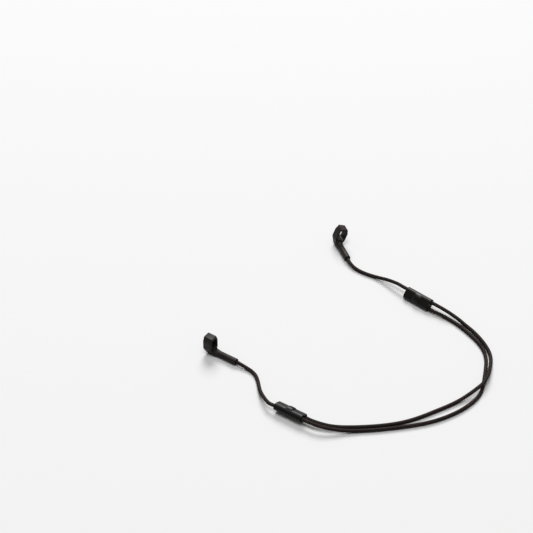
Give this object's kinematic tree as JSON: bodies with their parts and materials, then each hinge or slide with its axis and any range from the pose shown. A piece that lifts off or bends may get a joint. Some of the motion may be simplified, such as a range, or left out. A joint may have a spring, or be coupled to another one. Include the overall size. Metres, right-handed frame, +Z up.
{
  "type": "eyeglass retainer strap",
  "caption": "Adjustable eyeglass retainer strap: two moulded rubber temple grips, thin cords and sliding adjusters, laid in a loop.",
  "frame": {"origin": "on the surface the strap lies on, at the centre of the box round the two grips and the two sliders", "axes": "+Z up, +Y towards the glasses, +X to the wearer's right; the loop that goes behind the head lies towards -Y"},
  "size_m": [0.1484, 0.1475, 0.0128],
  "materials": {
    "moulded_rubber": "charcoal black moulded rubber, satin matt",
    "braided_cord": "black fine braided cord, matt",
    "slider_plastic": "black moulded plastic, satin",
    "crimped_steel": "crimped bright steel, hidden inside"
  },
  "bodies": {
    "cords_and_grips": {"left_temple_grip": "moulded_rubber", "right_temple_grip": "moulded_rubber", "left_grip_cord_stop": "crimped_steel", "right_grip_cord_stop": "crimped_steel", "left_cord": "braided_cord", "right_cord": "braided_cord"},
    "left_slider": {"left_slider_upper_shell": "slider_plastic", "left_slider_lower_shell": "slider_plastic", "left_slider_cord_stop": "crimped_steel"},
    "right_slider": {"right_slider_upper_shell": "slider_plastic", "right_slider_lower_shell": "slider_plastic", "right_slider_cord_stop": "crimped_steel"}
  },
  "joints": [
    {"name": "left_slider_travel", "type": "slide", "parent": "cords_and_grips", "child": "left_slider", "axis": [0.0663, -0.9978, 0], "range_m": [-0.005, 0.008], "deforming": ["right_cord", "left_cord"]},
    {"name": "right_slider_travel", "type": "slide", "parent": "cords_and_grips", "child": "right_slider", "axis": [-0.068, -0.9977, 0], "range_m": [-0.008, 0.008], "deforming": ["left_cord", "right_cord"]}
  ]
}
